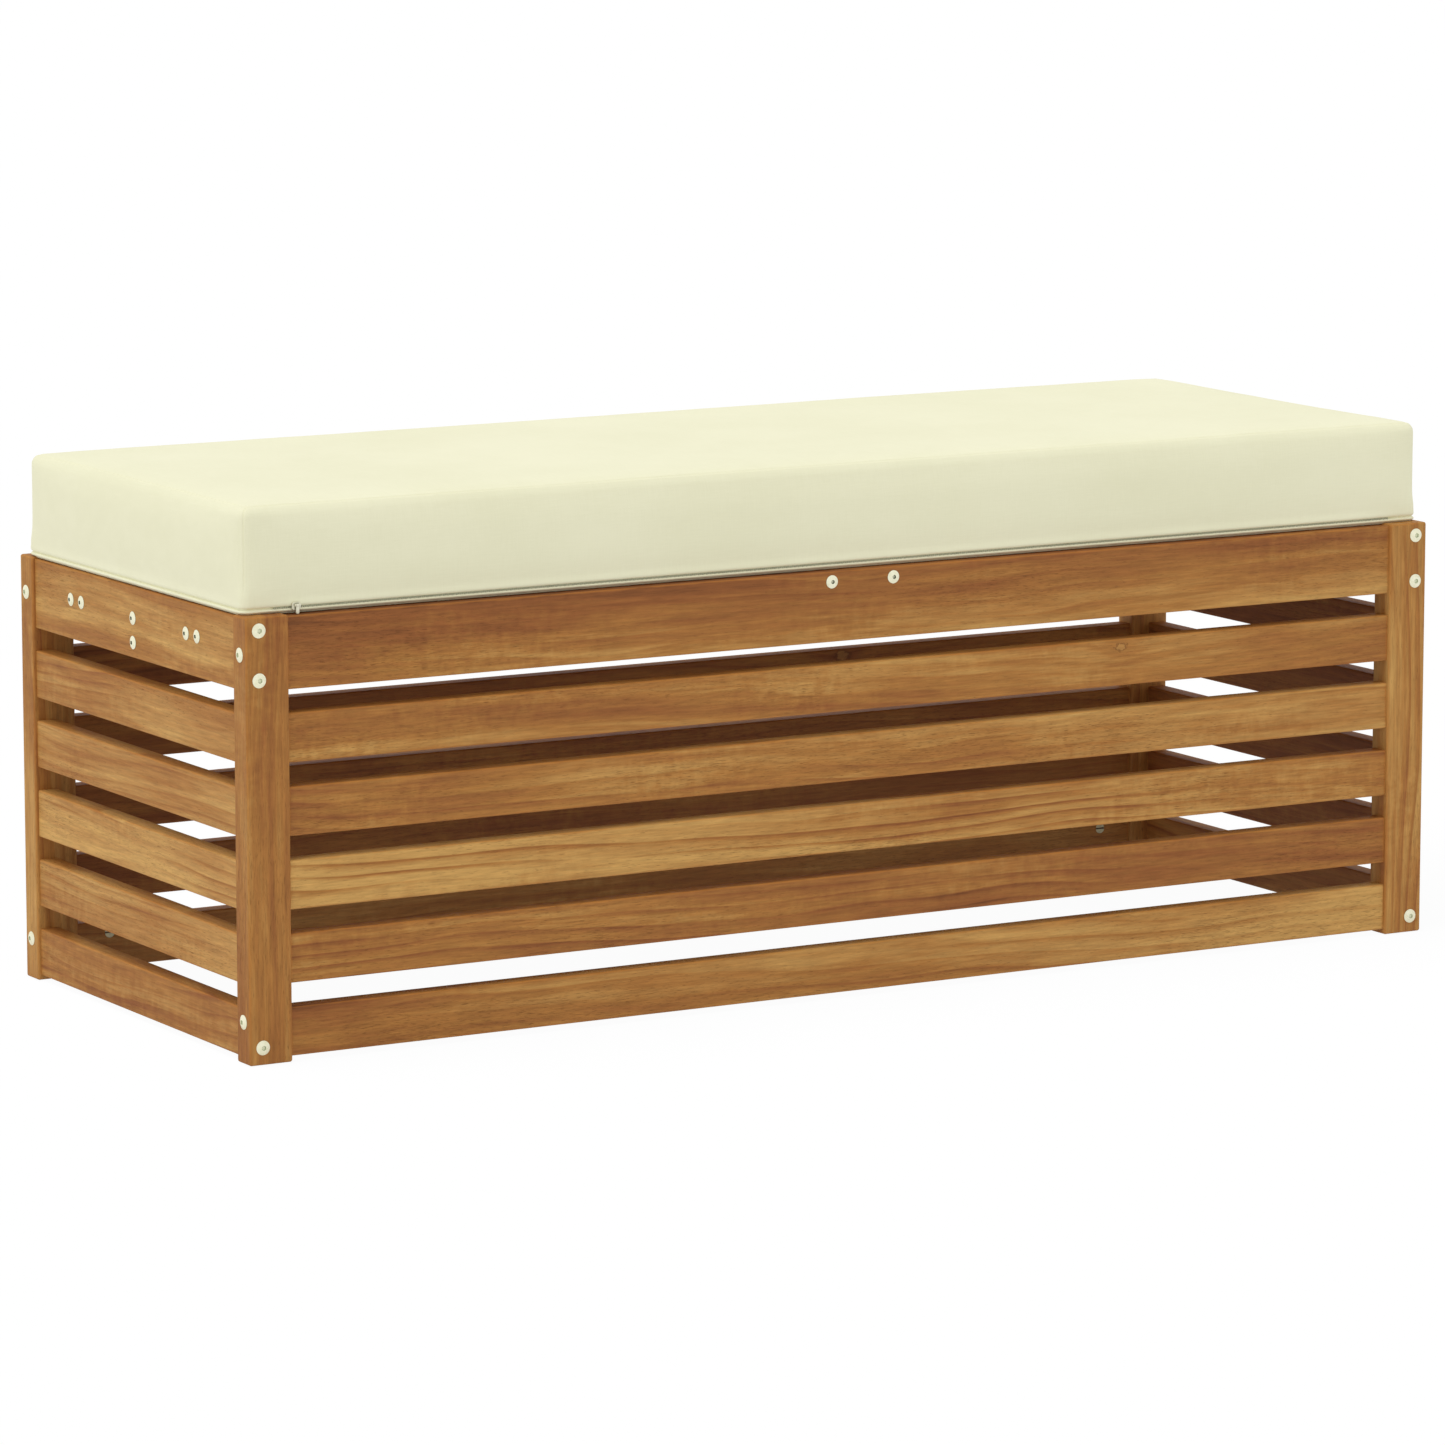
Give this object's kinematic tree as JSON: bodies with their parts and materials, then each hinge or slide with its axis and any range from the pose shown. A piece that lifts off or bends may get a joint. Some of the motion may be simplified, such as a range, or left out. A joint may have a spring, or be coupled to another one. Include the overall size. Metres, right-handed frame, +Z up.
{
  "type": "slatted garden bench",
  "caption": "Slatted hardwood garden bench with an open base, a fixed slat seat and a loose cream box cushion that closes with a zip.",
  "frame": {"origin": "on the floor, under the middle of the bench", "axes": "+X along the bench to the right as seen from the front, +Y from the front to the back, +Z up"},
  "size_m": [1.2038, 0.4538, 0.4703],
  "materials": {
    "acacia": "oiled acacia, satin",
    "beech": "plain turned beech",
    "zinc_hardware": "pale zinc plate",
    "cover_fabric": "plain woven polyester, cream",
    "foam": "open-cell foam",
    "zip_tape": "woven zip tape with a nylon coil",
    "zip_metal": "cream lacquered die-cast zinc"
  },
  "bodies": {
    "frame": {"front_left_post": "acacia", "front_right_post": "acacia", "rear_left_post": "acacia", "rear_right_post": "acacia", "front_top_rail": "acacia", "rear_top_rail": "acacia", "left_top_rail": "acacia", "right_top_rail": "acacia", "front_bottom_rail": "acacia", "rear_bottom_rail": "acacia", "left_bottom_rail": "acacia", "right_bottom_rail": "acacia", "front_slat_1": "acacia", "rear_slat_1": "acacia", "left_slat_1": "acacia", "right_slat_1": "acacia", "front_slat_2": "acacia", "rear_slat_2": "acacia", "left_slat_2": "acacia", "right_slat_2": "acacia", "front_slat_3": "acacia", "rear_slat_3": "acacia", "left_slat_3": "acacia", "right_slat_3": "acacia", "front_slat_4": "acacia", "rear_slat_4": "acacia", "left_slat_4": "acacia", "right_slat_4": "acacia", "front_batten": "acacia", "rear_batten": "acacia", "centre_beam": "acacia", "seat_slat_01": "acacia", "seat_slat_02": "acacia", "seat_slat_03": "acacia", "seat_slat_04": "acacia", "seat_slat_05": "acacia", "seat_slat_06": "acacia", "seat_slat_07": "acacia", "seat_slat_08": "acacia", "seat_slat_09": "acacia", "seat_slat_10": "acacia", "seat_slat_11": "acacia", "seat_slat_12": "acacia", "seat_slat_13": "acacia", "seat_slat_14": "acacia", "seat_slat_15": "acacia", "seat_slat_16": "acacia", "seat_slat_17": "acacia", "seat_slat_18": "acacia", "end_rail_bolts": "zinc_hardware", "long_rail_bolts": "zinc_hardware", "barrel_nuts": "zinc_hardware", "deck_screws": "zinc_hardware", "seat_slat_screws": "zinc_hardware", "wood_dowels": "beech"},
    "cushion": {"cushion_cover": "cover_fabric", "cushion_foam": "foam", "zip_tape": "zip_tape"},
    "zip_slider": {"zip_slider": "zip_metal"},
    "zip_pull": {"zip_pull": "zip_metal"}
  },
  "joints": [
    {"name": "cushion_lift", "type": "slide", "parent": "frame", "child": "cushion", "axis": [0, 0, 1], "range_m": [0, 0.35]},
    {"name": "zip_slide", "type": "slide", "parent": "cushion", "child": "zip_slider", "axis": [1, 0, 0], "range_m": [0, 1.08]},
    {"name": "zip_pull_swing", "type": "hinge", "parent": "zip_slider", "child": "zip_pull", "pos_m": [-0.548, -0.2176, 0.3863], "axis": [1, 0, 0], "range_deg": [-160, 0]}
  ]
}
